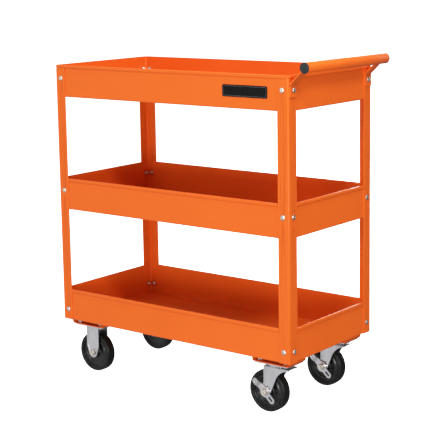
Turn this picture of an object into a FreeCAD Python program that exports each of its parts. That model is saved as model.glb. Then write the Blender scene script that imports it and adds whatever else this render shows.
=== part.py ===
import FreeCAD, Part
import math
import os

import Sketcher
from FreeCAD import Placement, Rotation, Vector

# Three-tray steel tool cart on four casters.
#
# Frame: millimetres, +Z up, +X towards the end with the push handle, -Y the front side that carries the
# name plate. The origin lies on the ground under the centre of the cart's overall box. "Left" is the -X end
# with the rigid casters and "right" the +X end with the swivel casters; "front" is -Y and "rear" is +Y.
# Each sub-part is modelled about the middle of the tray frame and placed with one shift along X, because
# the handle overhangs the right end.

DIMENSIONS = {
    # tray frame
    "frame_length": 700.0,
    "frame_width": 338.0,
    "tray_height": 79.0,
    "tray_sheet": 1.2,
    "bottom_tray_base": 137.5,
    "middle_tray_base": 420.5,
    "top_tray_base": 702.0,
    "tray_corner_radius": 4.0,
    "tray_bend_radius": 3.0,
    "hem_height": 7.0,
    "hem_proud": 3.0,
    "hem_edge_radius": 1.2,
    "hem_side_gap": 4.0,
    "hem_end_gap": 0.8,
    # corner posts
    "post_flange": 30.0,
    "post_sheet": 2.0,
    "post_bend_radius": 3.5,
    "post_top_gap": 0.4,
    "post_hem_gap": 0.5,
    "post_bolt_offset": 17.0,
    "bottom_bolt_rise": 26.5,
    "middle_bolt_rise": 48.5,
    "top_bolt_rise": 46.5,
    "post_slot_width": 2.6,
    "post_slot_length": 8.0,
    "post_slot_rise": 25.0,
    # post bolts and nuts
    "bolt_diameter": 6.0,
    "bolt_hole": 6.5,
    "bolt_head_diameter": 12.0,
    "bolt_head_height": 3.6,
    "bolt_head_edge": 1.2,
    "bolt_length": 12.0,
    "bolt_long_length": 15.0,
    "bolt_recess_width": 1.6,
    "bolt_recess_span": 6.4,
    "bolt_recess_depth": 1.6,
    "bolt_end_chamfer": 0.6,
    "nut_across_flats": 10.0,
    "nut_height": 5.0,
    "nut_bevel_start": 0.96,
    "nut_bevel_slope": 0.6,
    "thread_clearance": 0.05,
    # push handle
    "handle_diameter": 24.0,
    "handle_wall": 1.5,
    "handle_length": 330.0,
    "handle_reach": 40.0,
    "handle_rise": 17.2,
    "strap_width": 26.0,
    "strap_sheet": 3.0,
    "strap_foot_drop": 48.0,
    "strap_bend_drop": 19.0,
    "strap_bend_radius": 6.0,
    "cap_diameter": 24.4,
    "cap_flange": 1.0,
    "cap_plug_length": 14.0,
    "cap_plug_clearance": 0.05,
    "cap_dome": 0.8,
    # name plate
    "plate_length": 124.0,
    "plate_height": 27.0,
    "plate_thickness": 1.4,
    "plate_corner_radius": 4.0,
    "plate_centre_x": 231.5,
    "plate_centre_drop": 39.2,
    # caster mounting
    "caster_spread": 117.5,
    "rigid_caster_x": 285.5,
    "swivel_caster_x": 283.0,
    "channel_length": 104.0,
    "channel_width": 70.0,
    "channel_height": 13.5,
    "channel_sheet": 2.0,
    "channel_web_lean": 3.0,
    "pad_bolt_spacing_x": 72.0,
    "pad_bolt_spacing_y": 46.0,
    "pad_bolt_length": 11.0,
    "mount_plate_length": 94.0,
    "mount_plate_width": 66.0,
    "mount_plate_sheet": 3.0,
    "mount_plate_corner": 6.0,
    # wheels
    "wheel_diameter": 100.0,
    "tyre_width": 24.0,
    "tyre_edge_radius": 4.0,
    "core_diameter": 78.0,
    "core_web_width": 15.0,
    "core_ring_width": 20.0,
    "core_ring_inner": 58.0,
    "core_ring_outer": 66.0,
    "hub_diameter": 30.0,
    "hub_width": 28.0,
    "hub_edge": 1.5,
    "hub_flare": 2.0,
    "tyre_bead_step": 2.0,
    "sleeve_diameter": 12.0,
    "wheel_running_clearance": 0.06,
    # forks and axles
    "fork_gap": 29.0,
    "fork_sheet": 3.0,
    "fork_tip_radius": 13.5,
    "fork_edge_rib": 4.0,
    "fork_panel_depth": 1.0,
    "fork_bend_radius": 4.0,
    "fork_taper": 0.25,
    "rigid_leg_width": 40.0,
    "rigid_leg_straight_base": 66.0,
    "axle_diameter": 8.0,
    "axle_clearance": 0.05,
    "axle_nut_flats": 13.0,
    "axle_nut_height": 6.5,
    "axle_head_height": 5.5,
    "axle_thread_end": 2.0,
    # swivel heads
    "swivel_trail": 26.5,
    "swivel_leg_back": 31.5,
    "swivel_leg_front": 38.0,
    "swivel_leg_back_base": 71.0,
    "swivel_leg_waist": 0.5,
    "swivel_leg_waist_level": 79.5,
    "swivel_leg_sweep": 43.0,
    "swivel_leg_brow": 5.0,
    "crown_top": 113.0,
    "crown_sheet": 3.0,
    "race_gap": 1.2,
    "race_ball_diameter": 6.0,
    "race_pitch_diameter": 38.0,
    "race_boss_diameter": 50.0,
    "race_boss_chamfer": 1.5,
    "race_ball_clearance": 0.1,
    "race_ball_count": 16.0,
    "kingpin_diameter": 12.0,
    "kingpin_clearance": 0.06,
    "kingpin_head_diameter": 20.0,
    "kingpin_head_height": 4.0,
    "kingpin_head_gap": 0.5,
    "kingpin_head_chamfer": 1.0,
    # brake levers
    "lever_sheet": 2.5,
    "lever_gap": 0.4,
    "lever_hub_diameter": 26.0,
    "lever_hub_bore": 15.4,
    "lever_cam_diameter": 15.2,
    "lever_arm_width": 15.0,
    "lever_pad_reach": 40.5,
    "lever_pad_diameter": 14.0,
    "lever_joggle_start": 20.0,
    "lever_joggle_run": 7.0,
    "lever_joggle_rise": 5.0,
    "lever_dimple_diameter": 8.0,
    "lever_dimple_depth": 1.4,
    "lever_ring_diameter": 22.0,
    "lever_ring_width": 2.4,
    "lever_ring_height": 0.8,
    "lever_loop_reach": 34.0,
    "lever_loop_width": 15.0,
    "lever_slot_width": 5.0,
    "lever_slot_length": 14.0,
    "lever_angle": 44.0,
}

SHEET_NAME = "Dimensions"
ARC = "arc"
ROOT_HALF = math.sqrt(0.5)


class Size:
    """A length that carries both its value and the sheet expression that it comes from."""

    def __init__(self, value, text):
        self.value = float(value)
        self.text = text

    def __add__(self, other):
        other = as_size(other)
        return Size(self.value + other.value, f"({self.text} + {other.text})")

    def __sub__(self, other):
        other = as_size(other)
        return Size(self.value - other.value, f"({self.text} - {other.text})")

    def __mul__(self, other):
        other = as_size(other)
        return Size(self.value * other.value, f"({self.text} * {other.text})")

    def __truediv__(self, other):
        other = as_size(other)
        return Size(self.value / other.value, f"({self.text} / {other.text})")

    def __neg__(self):
        return Size(-self.value, f"(0 - {self.text})")

    __radd__ = __add__
    __rmul__ = __mul__

    def __rsub__(self, other):
        return as_size(other) - self


def as_size(number):
    return number if isinstance(number, Size) else Size(number, repr(float(number)))


def square_root(size):
    return Size(math.sqrt(size.value), f"sqrt({size.text})")


class Dims:
    """Reads the driving dimensions by name, as Size values bound to the sheet."""

    def __getattr__(self, alias):
        return Size(DIMENSIONS[alias], f"{SHEET_NAME}.{alias}")


D = Dims()
doc = FreeCAD.newDocument("ToolCart")


def make_sheet():
    sheet = doc.addObject("Spreadsheet::Sheet", SHEET_NAME)
    for row, (alias, number) in enumerate(DIMENSIONS.items(), start=1):
        sheet.set(f"A{row}", alias)
        sheet.set(f"B{row}", str(number))
        sheet.setAlias(f"B{row}", alias)
    doc.recompute()


def bind(thing, prop, size):
    """Sets a property from the sheet: its value now, and its expression for every later change."""
    thing.setExpression(prop, as_size(size).text)


# ---------------------------------------------------------------------------------------------------------
# Sketches and features
# ---------------------------------------------------------------------------------------------------------

def origin_plane(body, role):
    return next(item for item in body.Origin.OriginFeatures if item.Role == role)


def make_sketch(body, name, plane, offset=0.0):
    """A sketch on one of the body's own origin planes, raised along the plane's normal by offset."""
    sketch = body.newObject("Sketcher::SketchObject", name)
    sketch.AttachmentSupport = (origin_plane(body, plane), [""])
    sketch.MapMode = "FlatFace"
    bind(sketch, "AttachmentOffset.Base.z", offset)
    return sketch


def pin_point(sketch, geometry, corner, x, y):
    """Holds one point of a curve at sheet-driven coordinates."""
    for kind, size in (("DistanceX", as_size(x)), ("DistanceY", as_size(y))):
        index = sketch.addConstraint(Sketcher.Constraint(kind, -1, 1, geometry, corner, size.value))
        sketch.setExpression(f"Constraints[{index}]", size.text)


def flat(point):
    return Vector(as_size(point[0]).value, as_size(point[1]).value, 0)


def add_outline(sketch, points):
    """A closed run of edges through the points. They are straight, except where a point marked ARC lies
    between two others: it is the middle of an arc that joins them."""
    count = len(points)
    corners = [i for i, point in enumerate(points) if ARC not in point]
    ends = []
    for order, i in enumerate(corners):
        start = points[i]
        end = points[corners[(order + 1) % len(corners)]]
        middle = points[(i + 1) % count]
        head, tail = 1, 2
        if ARC in middle:
            geometry = sketch.addGeometry(Part.Arc(flat(start), flat(middle), flat(end)), False)
            turn = (flat(middle) - flat(start)).cross(flat(end) - flat(middle)).z
            if turn < 0:
                head, tail = 2, 1
            on_arc = sketch.addGeometry(Part.Point(flat(middle)), True)
            pin_point(sketch, on_arc, 1, middle[0], middle[1])
            sketch.addConstraint(Sketcher.Constraint("PointOnObject", on_arc, 1, geometry))
        else:
            geometry = sketch.addGeometry(Part.LineSegment(flat(start), flat(end)), False)
        pin_point(sketch, geometry, head, start[0], start[1])
        ends.append((geometry, head, tail))
    for (geometry, _, tail), (following, head, _) in zip(ends, ends[1:] + ends[:1]):
        sketch.addConstraint(Sketcher.Constraint("Coincident", geometry, tail, following, head))


def add_rectangle(sketch, left, low, right, high):
    add_outline(sketch, [(left, low), (right, low), (right, high), (left, high)])


def add_rounded_rectangle(sketch, half_x, half_y, radius):
    """A rectangle about the origin with its corners rounded."""
    in_x = half_x - radius
    in_y = half_y - radius
    arc_x = in_x + radius * ROOT_HALF
    arc_y = in_y + radius * ROOT_HALF
    add_outline(sketch, [
        (-in_x, -half_y), (in_x, -half_y), (arc_x, -arc_y, ARC),
        (half_x, -in_y), (half_x, in_y), (arc_x, arc_y, ARC),
        (in_x, half_y), (-in_x, half_y), (-arc_x, arc_y, ARC),
        (-half_x, in_y), (-half_x, -in_y), (-arc_x, -arc_y, ARC),
    ])


def add_circle(sketch, x, y, radius):
    circle = Part.Circle(flat((x, y)), Vector(0, 0, 1), as_size(radius).value)
    geometry = sketch.addGeometry(circle, False)
    pin_point(sketch, geometry, 3, x, y)
    index = sketch.addConstraint(Sketcher.Constraint("Radius", geometry, as_size(radius).value))
    sketch.setExpression(f"Constraints[{index}]", as_size(radius).text)


def make_body(label):
    body = doc.addObject("PartDesign::Body", label)
    body.Label = label
    return body


def pad(body, sketch, length, both_ways=False, reverse=False):
    feature = body.newObject("PartDesign::Pad", sketch.Name + "_pad")
    feature.Profile = sketch
    bind(feature, "Length", length)
    feature.Midplane = both_ways
    feature.Reversed = reverse
    return finished(body, feature, grows=True)


def pocket(body, sketch, depth=None, both_ways=False, reverse=False):
    """Cuts the sketch out of the body: to a depth, or right through when none is given."""
    feature = body.newObject("PartDesign::Pocket", sketch.Name + "_pocket")
    feature.Profile = sketch
    if depth is None:
        feature.Type = "ThroughAll"
    else:
        bind(feature, "Length", depth)
    feature.Midplane = both_ways
    feature.Reversed = reverse
    return finished(body, feature, grows=False)


def revolve(body, sketch, axis, cuts=False):
    kind = "PartDesign::Groove" if cuts else "PartDesign::Revolution"
    feature = body.newObject(kind, sketch.Name + "_turn")
    feature.Profile = sketch
    feature.ReferenceAxis = (sketch, [axis])
    feature.Angle = 360.0
    return finished(body, feature, grows=not cuts)


def dress(body, kind, prop, size, picks):
    """A fillet or chamfer on every edge of the body so far that the picks function accepts."""
    base = body.Tip
    names = [f"Edge{i}" for i, edge in enumerate(base.Shape.Edges, start=1) if picks(edge)]
    if not names:
        raise RuntimeError(f"{body.Label}: no edge was picked for {kind}")
    feature = body.newObject("PartDesign::" + kind, f"{body.Name}_{kind}")
    feature.Base = (base, names)
    bind(feature, prop, size)
    return finished(body, feature)


def fillet(body, radius, picks):
    return dress(body, "Fillet", "Radius", radius, picks)


def chamfer(body, size, picks):
    return dress(body, "Chamfer", "Size", size, picks)


def finished(body, feature, grows=None):
    """Recomputes, and stops if a feature failed or did nothing."""
    body.Tip = feature
    doc.recompute()
    before = feature.BaseFeature.Shape.Volume if feature.BaseFeature else 0.0
    after = feature.Shape.Volume
    if "Invalid" in feature.State or "Error" in feature.State or not feature.Shape.isValid():
        raise RuntimeError(f"{body.Label}: {feature.Name} failed")
    if grows is True and after <= before or grows is False and after >= before:
        raise RuntimeError(f"{body.Label}: {feature.Name} changed nothing ({before:.1f} to {after:.1f})")
    return feature


def place(thing, x=0.0, y=0.0, z=0.0, angle=0.0, axis=Vector(0, 0, 1)):
    """Puts a sub-part in the cart's frame. x is measured from the middle of the tray frame."""
    thing.Placement = Placement(Vector(), Rotation(axis, angle))
    bind(thing, "Placement.Base.x", as_size(x) + frame_shift())
    bind(thing, "Placement.Base.y", y)
    bind(thing, "Placement.Base.z", z)


def frame_shift():
    """From the origin to the middle of the tray frame: half of how much more the handle end overhangs."""
    handle_end = D.handle_reach + D.cap_diameter / 2
    return (D.bolt_head_height - handle_end) / 2


# ---------------------------------------------------------------------------------------------------------
# Places that several sub-parts share
# ---------------------------------------------------------------------------------------------------------

SIDES = {"front": -1, "rear": 1}
ENDS = {"left": -1, "right": 1}


def tray_top(base):
    return base + D.tray_height


def post_top():
    return tray_top(D.top_tray_base) - D.hem_height - D.post_top_gap


def bolt_heights():
    return [
        D.bottom_tray_base + D.bottom_bolt_rise,
        D.middle_tray_base + D.middle_bolt_rise,
        D.top_tray_base + D.top_bolt_rise,
    ]


def bolt_x():
    return D.frame_length / 2 - D.post_bolt_offset


def bolt_y():
    return D.frame_width / 2 - D.post_bolt_offset


def handle_x():
    return D.frame_length / 2 + D.handle_reach


def handle_z():
    return tray_top(D.top_tray_base) + D.handle_rise


def channel_base():
    return D.bottom_tray_base - D.channel_height


def caster_x(end):
    return -D.rigid_caster_x if end == "left" else D.swivel_caster_x


def axle_x(end):
    return caster_x(end) if end == "left" else D.swivel_caster_x - D.swivel_trail


def pad_bolt_points():
    """The four bolt places on a caster plate, about its centre."""
    half_x = D.pad_bolt_spacing_x / 2
    half_y = D.pad_bolt_spacing_y / 2
    return [(half_x * i, half_y * j) for i in (-1, 1) for j in (-1, 1)]


# ---------------------------------------------------------------------------------------------------------
# Trays
# ---------------------------------------------------------------------------------------------------------

def hem_rectangles(half_x, half_y, side_gap, end_gap):
    """The four strips of the outward hem. The long ones stop short of the corners by side_gap and the short
    ones by end_gap."""
    outer_x = half_x + D.hem_proud
    outer_y = half_y + D.hem_proud
    inner = D.tray_sheet / 2
    for side in (-1, 1):
        low, high = sorted([(half_y - inner) * side, outer_y * side], key=lambda size: size.value)
        yield -(half_x - side_gap), low, half_x - side_gap, high
        left, right = sorted([(half_x - inner) * side, outer_x * side], key=lambda size: size.value)
        yield left, -(half_y - end_gap), right, half_y - end_gap


def lies_at(edge, height):
    return all(abs(vertex.Z - height) < 1e-4 for vertex in edge.Vertexes)


def make_tray(label, base, bolt_rise, side_gap, end_gap):
    """A folded sheet tray with a hem round the rim and bolt holes in its walls."""
    body = make_body(label)
    half_x = D.frame_length / 2 - D.post_sheet
    half_y = D.frame_width / 2 - D.post_sheet
    height = D.tray_height

    outer = make_sketch(body, label + "_outer", "XY_Plane")
    add_rounded_rectangle(outer, half_x, half_y, D.tray_corner_radius)
    pad(body, outer, height)
    fillet(body, D.tray_bend_radius, lambda edge: lies_at(edge, 0.0))
    inner = make_sketch(body, label + "_inner", "XY_Plane", D.tray_sheet)
    inset = D.tray_sheet
    add_rounded_rectangle(inner, half_x - inset, half_y - inset, D.tray_corner_radius - inset)
    pocket(body, inner, reverse=True)
    fillet(body, D.tray_bend_radius - inset,
           lambda edge: lies_at(edge, inset.value) and edge.BoundBox.DiagonalLength > 1)

    hem = make_sketch(body, label + "_hem", "XY_Plane", height - D.hem_height)
    for strip in hem_rectangles(half_x, half_y, side_gap, end_gap):
        add_rectangle(hem, *strip)
    pad(body, hem, D.hem_height)
    outer_x = (half_x + D.hem_proud).value
    outer_y = (half_y + D.hem_proud).value

    def is_hem_edge(edge):
        points = edge.Vertexes
        long_x = all(abs(abs(vertex.Y) - outer_y) < 1e-4 for vertex in points)
        long_y = all(abs(abs(vertex.X) - outer_x) < 1e-4 for vertex in points)
        return edge.Length > height.value and (long_x or long_y)

    fillet(body, D.hem_edge_radius, is_hem_edge)

    front_holes = make_sketch(body, label + "_side_holes", "XZ_Plane")
    end_holes = make_sketch(body, label + "_end_holes", "YZ_Plane")
    for side in (-1, 1):
        add_circle(front_holes, bolt_x() * side, bolt_rise, D.bolt_hole / 2)
        add_circle(end_holes, bolt_y() * side, bolt_rise, D.bolt_hole / 2)
    pocket(body, front_holes, both_ways=True)
    pocket(body, end_holes, both_ways=True)

    place(body, z=base)


# ---------------------------------------------------------------------------------------------------------
# Corner posts
# ---------------------------------------------------------------------------------------------------------

def make_post(label, side, end):
    """An equal-flange angle. It is modelled with its corner at the origin and its flanges along +X and +Y,
    then turned about Z into its corner of the cart."""
    body = make_body(label)
    flange = D.post_flange
    sheet = D.post_sheet
    base = D.bottom_tray_base
    profile = make_sketch(body, label + "_profile", "XY_Plane")
    add_outline(profile, [(0, 0), (flange, 0), (flange, sheet), (sheet, sheet), (sheet, flange), (0, flange)])
    pad(body, profile, post_top() - base)

    def is_bend(edge):
        corner = edge.Vertexes[0].X + edge.Vertexes[0].Y
        diagonal = all(abs(vertex.X - vertex.Y) < 1e-4 for vertex in edge.Vertexes)
        return diagonal and corner < 1e-4 and edge.Length > flange.value

    def is_inner_bend(edge):
        at_corner = all(abs(vertex.X - sheet.value) + abs(vertex.Y - sheet.value) < 1e-3
                        for vertex in edge.Vertexes)
        return at_corner and edge.Length > flange.value

    fillet(body, D.post_bend_radius, is_bend)
    fillet(body, D.post_bend_radius - sheet, is_inner_bend)

    slot_centre = bolt_heights()[1] - D.post_slot_rise + D.post_slot_length / 2 - base
    half_slot = D.post_slot_width / 2
    straight = D.post_slot_length / 2 - half_slot
    for plane in ("XZ_Plane", "YZ_Plane"):
        holes = make_sketch(body, f"{label}_holes_{plane[:2]}", plane)
        middle = D.post_bolt_offset
        for height in bolt_heights():
            add_circle(holes, middle, height - base, D.bolt_hole / 2)
        add_outline(holes, [
            (middle + half_slot, slot_centre - straight),
            (middle + half_slot, slot_centre + straight),
            (middle, slot_centre + straight + half_slot, ARC),
            (middle - half_slot, slot_centre + straight),
            (middle - half_slot, slot_centre - straight),
            (middle, slot_centre - straight - half_slot, ARC),
        ])
        pocket(body, holes, D.post_sheet * 2, both_ways=True)

    turns = {("front", "left"): 0, ("front", "right"): 90, ("rear", "right"): 180, ("rear", "left"): 270}
    place(body, D.frame_length / 2 * ENDS[end], D.frame_width / 2 * SIDES[side], base, turns[(side, end)])


# ---------------------------------------------------------------------------------------------------------
# Push handle
# ---------------------------------------------------------------------------------------------------------

def make_handle_tube():
    body = make_body("handle_tube")
    ring = make_sketch(body, "handle_ring", "XZ_Plane")
    add_circle(ring, 0, 0, D.handle_diameter / 2)
    add_circle(ring, 0, 0, D.handle_diameter / 2 - D.handle_wall)
    pad(body, ring, D.handle_length, both_ways=True)
    place(body, handle_x(), 0, handle_z())


def make_handle_cap(label, side):
    """A plastic plug: a stem inside the tube and a domed flange that closes its end."""
    body = make_body(label)
    stem = D.handle_diameter / 2 - D.handle_wall - D.cap_plug_clearance
    rim = D.cap_diameter / 2
    half = make_sketch(body, label + "_half", "XZ_Plane")
    crown = D.cap_flange + D.cap_dome
    dome_radius = (rim * rim + D.cap_dome * D.cap_dome) / (D.cap_dome * 2)
    drop = dome_radius - square_root(dome_radius * dome_radius - rim * rim / 4)
    add_outline(half, [
        (0, -D.cap_plug_length),
        (stem, -D.cap_plug_length),
        (stem, 0),
        (rim, 0),
        (rim, D.cap_flange),
        (rim / 2, crown - drop, ARC),
        (0, crown),
    ])
    revolve(body, half, "V_Axis")
    sign = SIDES[side]
    place(body, handle_x(), D.handle_length / 2 * sign, handle_z(), -90 * sign, Vector(1, 0, 0))


def make_handle_bracket(label, side):
    """A flat strap bolted to the post: upright at its foot, then bent out towards the tube's centre and coped
    to the tube."""
    body = make_body(label)
    sheet = D.strap_sheet
    reach = D.handle_reach
    foot = tray_top(D.top_tray_base) - D.strap_foot_drop - handle_z()
    # The sloping part's mid-line runs from the tube's centre to the bend's centre.
    bend = -(D.strap_bend_drop + D.handle_rise)
    run = reach - sheet / 2
    length = square_root(run * run + bend * bend)
    across = run / length
    up = -bend / length
    slant = sheet / 2 * (1 - up) / across
    tip = D.handle_diameter / 4
    tip_x = -tip * across
    tip_z = -tip * up
    strap = make_sketch(body, label + "_side", "XZ_Plane")
    add_outline(strap, [
        (-reach, foot),
        (sheet - reach, foot),
        (sheet - reach, bend - slant),
        (tip_x + up * sheet / 2, tip_z - across * sheet / 2),
        (tip_x - up * sheet / 2, tip_z + across * sheet / 2),
        (-reach, bend + slant),
    ])
    pad(body, strap, D.strap_width, both_ways=True)
    fillet(body, D.strap_bend_radius, lambda edge: is_strap_bend(edge, (bend + slant).value, -reach.value))
    fillet(body, D.strap_bend_radius - sheet,
           lambda edge: is_strap_bend(edge, (bend - slant).value, (sheet - reach).value))
    cope = make_sketch(body, label + "_cope", "XZ_Plane")
    add_circle(cope, 0, 0, D.handle_diameter / 2)
    pocket(body, cope, both_ways=True)
    hole = make_sketch(body, label + "_hole", "YZ_Plane")
    add_circle(hole, 0, bolt_heights()[2] - handle_z(), D.bolt_hole / 2)
    pocket(body, hole, both_ways=True)
    place(body, handle_x(), bolt_y() * SIDES[side], handle_z())


def is_strap_bend(edge, height, x):
    return all(abs(vertex.Z - height) < 1e-3 and abs(vertex.X - x) < 1e-3 for vertex in edge.Vertexes)


# ---------------------------------------------------------------------------------------------------------
# Name plate
# ---------------------------------------------------------------------------------------------------------

def make_name_plate():
    body = make_body("name_plate")
    face = make_sketch(body, "name_plate_face", "XZ_Plane")
    half_x = D.plate_length / 2
    half_z = D.plate_height / 2
    add_rectangle(face, -half_x, -half_z, half_x, half_z)
    pad(body, face, D.plate_thickness)
    fillet(body, D.plate_corner_radius, lambda edge: abs(edge.Length - D.plate_thickness.value) < 1e-4)
    wall = -(D.frame_width / 2 - D.post_sheet)
    place(body, D.plate_centre_x, wall, tray_top(D.top_tray_base) - D.plate_centre_drop)


# ---------------------------------------------------------------------------------------------------------
# Fasteners
# ---------------------------------------------------------------------------------------------------------

def hexagon(across_flats):
    """The corners of a hexagon about the origin, with two flats parallel to the first axis."""
    half = across_flats / 2
    corner = across_flats / math.sqrt(3)
    return [
        (corner, as_size(0)), (corner / 2, half), (-corner / 2, half),
        (-corner, as_size(0)), (-corner / 2, -half), (corner / 2, -half),
    ]


def make_pan_bolt(name, length):
    """A pan-head bolt. Its seat lies at the origin, with the head above and the shank below."""
    body = make_body(name)
    half = make_sketch(body, name + "_half", "XZ_Plane")
    rim = D.bolt_head_diameter / 2
    shank = D.bolt_diameter / 2
    dome = D.bolt_head_height - D.bolt_head_edge
    radius = (rim * rim + dome * dome) / (dome * 2)
    drop = radius - square_root(radius * radius - rim * rim / 4)
    add_outline(half, [
        (0, -length),
        (shank - D.bolt_end_chamfer, -length),
        (shank, D.bolt_end_chamfer - length),
        (shank, 0),
        (rim, 0),
        (rim, D.bolt_head_edge),
        (rim / 2, D.bolt_head_height - drop, ARC),
        (0, D.bolt_head_height),
    ])
    revolve(body, half, "V_Axis")
    cross = make_sketch(body, name + "_cross", "XY_Plane", D.bolt_head_height)
    arm = D.bolt_recess_width / 2
    tip = D.bolt_recess_span / 2
    add_outline(cross, [
        (tip, -arm), (tip, arm), (arm, arm), (arm, tip), (-arm, tip), (-arm, arm),
        (-tip, arm), (-tip, -arm), (-arm, -arm), (-arm, -tip), (arm, -tip), (arm, -arm),
    ])
    pocket(body, cross, D.bolt_recess_depth)
    return body


def make_hex_nut(name, across_flats, height, bore):
    """A chamfered hexagon nut standing on the origin."""
    body = make_body(name)
    face = make_sketch(body, name + "_face", "XY_Plane")
    add_outline(face, hexagon(across_flats))
    add_circle(face, 0, 0, bore)
    pad(body, face, height)
    corner = across_flats / math.sqrt(3)
    rim = across_flats / 2 * D.nut_bevel_start
    clear = corner + 1
    fall = (clear - rim) * D.nut_bevel_slope
    bevel = make_sketch(body, name + "_bevel", "XZ_Plane")
    for level, step in ((height, -1), (as_size(0), 1)):
        add_outline(bevel, [(rim, level), (clear, level), (clear, level + fall * step)])
    revolve(body, bevel, "V_Axis", cuts=True)
    return body


def copies(master, placements):
    """Separate solids of one fastener, one at each placement."""
    solids = []
    for placement in placements:
        solid = master.Shape.copy()
        solid.Placement = placement
        solids.append(solid)
    return solids


def make_group(label, solids):
    group = doc.addObject("Part::Feature", label)
    group.Label = label
    group.Shape = Part.makeCompound(solids)
    group.Placement = Placement(Vector(frame_shift().value, 0, 0), Rotation())


def facing(x, y, z, outward):
    """A placement whose local +Z points along outward."""
    return Placement(Vector(x, y, z), Rotation(Vector(0, 0, 1), outward))


def post_bolt_seats():
    """For every post bolt: the seat on the post's outer face, its outward direction, and whether it also
    clamps a handle bracket."""
    heights = [height.value for height in bolt_heights()]
    for x_sign in ENDS.values():
        for y_sign in SIDES.values():
            for height in heights:
                side_seat = Vector(bolt_x().value * x_sign, D.frame_width.value / 2 * y_sign, height)
                yield side_seat, Vector(0, y_sign, 0), False
                end_seat = Vector(D.frame_length.value / 2 * x_sign, bolt_y().value * y_sign, height)
                yield end_seat, Vector(x_sign, 0, 0), x_sign > 0 and height == heights[-1]


def make_post_fasteners():
    short_bolt = make_pan_bolt("bolt_short", D.bolt_length)
    long_bolt = make_pan_bolt("bolt_long", D.bolt_long_length)
    bore = D.bolt_diameter / 2 + D.thread_clearance
    nut = make_hex_nut("nut_small", D.nut_across_flats, D.nut_height, bore)
    bolts = []
    nuts = []
    walls = D.post_sheet.value + D.tray_sheet.value
    for seat, outward, holds_bracket in post_bolt_seats():
        packing = D.strap_sheet.value if holds_bracket else 0.0
        bolt_seat = seat + outward * packing
        bolts += copies(long_bolt if holds_bracket else short_bolt, [facing(*bolt_seat, outward)])
        nut_seat = seat - outward * walls
        nuts += copies(nut, [facing(*nut_seat, -outward)])
    make_group("post_bolts", bolts)
    make_group("post_nuts", nuts)
    return nut


def make_caster_fasteners(nut):
    """Bolts up through each caster plate and its channel, with nuts on the channel's floor."""
    bolt = make_pan_bolt("bolt_caster", D.pad_bolt_length)
    bolts = []
    nuts = []
    below = channel_base().value - D.mount_plate_sheet.value
    above = channel_base().value + D.channel_sheet.value
    for end in ENDS:
        for y_sign in SIDES.values():
            for x, y in pad_bolt_points():
                across = caster_x(end).value + x.value
                along = D.caster_spread.value * y_sign + y.value
                bolts += copies(bolt, [facing(across, along, below, Vector(0, 0, -1))])
                nuts += copies(nut, [facing(across, along, above, Vector(0, 0, 1))])
    make_group("caster_bolts", bolts)
    make_group("caster_nuts", nuts)


# ---------------------------------------------------------------------------------------------------------
# Caster channels and plates
# ---------------------------------------------------------------------------------------------------------

def make_channel(label, side, end):
    """A channel welded under the tray by its two webs and open towards the front and rear. The caster plate
    is bolted to its floor."""
    body = make_body(label)
    half = D.channel_length / 2
    lean = D.channel_web_lean
    sheet = D.channel_sheet
    top = D.channel_height
    profile = make_sketch(body, label + "_profile", "XZ_Plane")
    add_outline(profile, [
        (-half, top), (lean - half, 0), (half - lean, 0), (half, top),
        (half - sheet, top), (half - lean - sheet, sheet), (lean + sheet - half, sheet), (sheet - half, top),
    ])
    pad(body, profile, D.channel_width, both_ways=True)
    holes = make_sketch(body, label + "_holes", "XY_Plane")
    for x, y in pad_bolt_points():
        add_circle(holes, x, y, D.bolt_hole / 2)
    pocket(body, holes, both_ways=True)
    place(body, caster_x(end), D.caster_spread * SIDES[side], channel_base())


def add_mount_plate(body, label):
    """The caster's top plate with its four bolt holes. The channel's underside is at z = 0."""
    half_x = D.mount_plate_length / 2
    half_y = D.mount_plate_width / 2
    face = make_sketch(body, label + "_plate", "XY_Plane", -D.mount_plate_sheet)
    add_rectangle(face, -half_x, -half_y, half_x, half_y)
    for x, y in pad_bolt_points():
        add_circle(face, x, y, D.bolt_hole / 2)
    pad(body, face, D.mount_plate_sheet)
    fillet(body, D.mount_plate_corner,
           lambda edge: abs(edge.Length - D.mount_plate_sheet.value) < 1e-4 and len(edge.Vertexes) == 2
           and abs(edge.Vertexes[0].X) > half_x.value - 1)


# ---------------------------------------------------------------------------------------------------------
# Rigid caster forks
# ---------------------------------------------------------------------------------------------------------

def axle_depth():
    """From the caster plate's upper face down to the axle."""
    return channel_base() - D.wheel_diameter / 2


def rigid_leg_outline(inset, head):
    """A fork leg seen from the front: parallel sides that taper to a round end below the axle."""
    half = D.rigid_leg_width / 2 - inset
    tip = D.fork_tip_radius - inset
    axle = -axle_depth()
    shoulder = D.rigid_leg_straight_base - channel_base()
    lean = tip * D.fork_taper
    side = square_root(tip * tip - lean * lean)
    return [
        (half, head), (-half, head), (-half, shoulder), (-side, axle - lean),
        (0, axle - tip, ARC), (side, axle - lean), (half, shoulder),
    ]


def cut_fork_gap(body, label, roof):
    """Opens the space between the legs that the wheel turns in."""
    gap = make_sketch(body, label + "_gap", "YZ_Plane")
    half = D.fork_gap / 2
    add_rectangle(gap, -half, -axle_depth() * 2, half, roof)
    pocket(body, gap, both_ways=True)


def cut_axle_hole(body, label, x):
    hole = make_sketch(body, label + "_axle_hole", "XZ_Plane")
    add_circle(hole, x, -axle_depth(), D.axle_diameter / 2 + D.axle_clearance)
    pocket(body, hole, both_ways=True)


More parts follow.
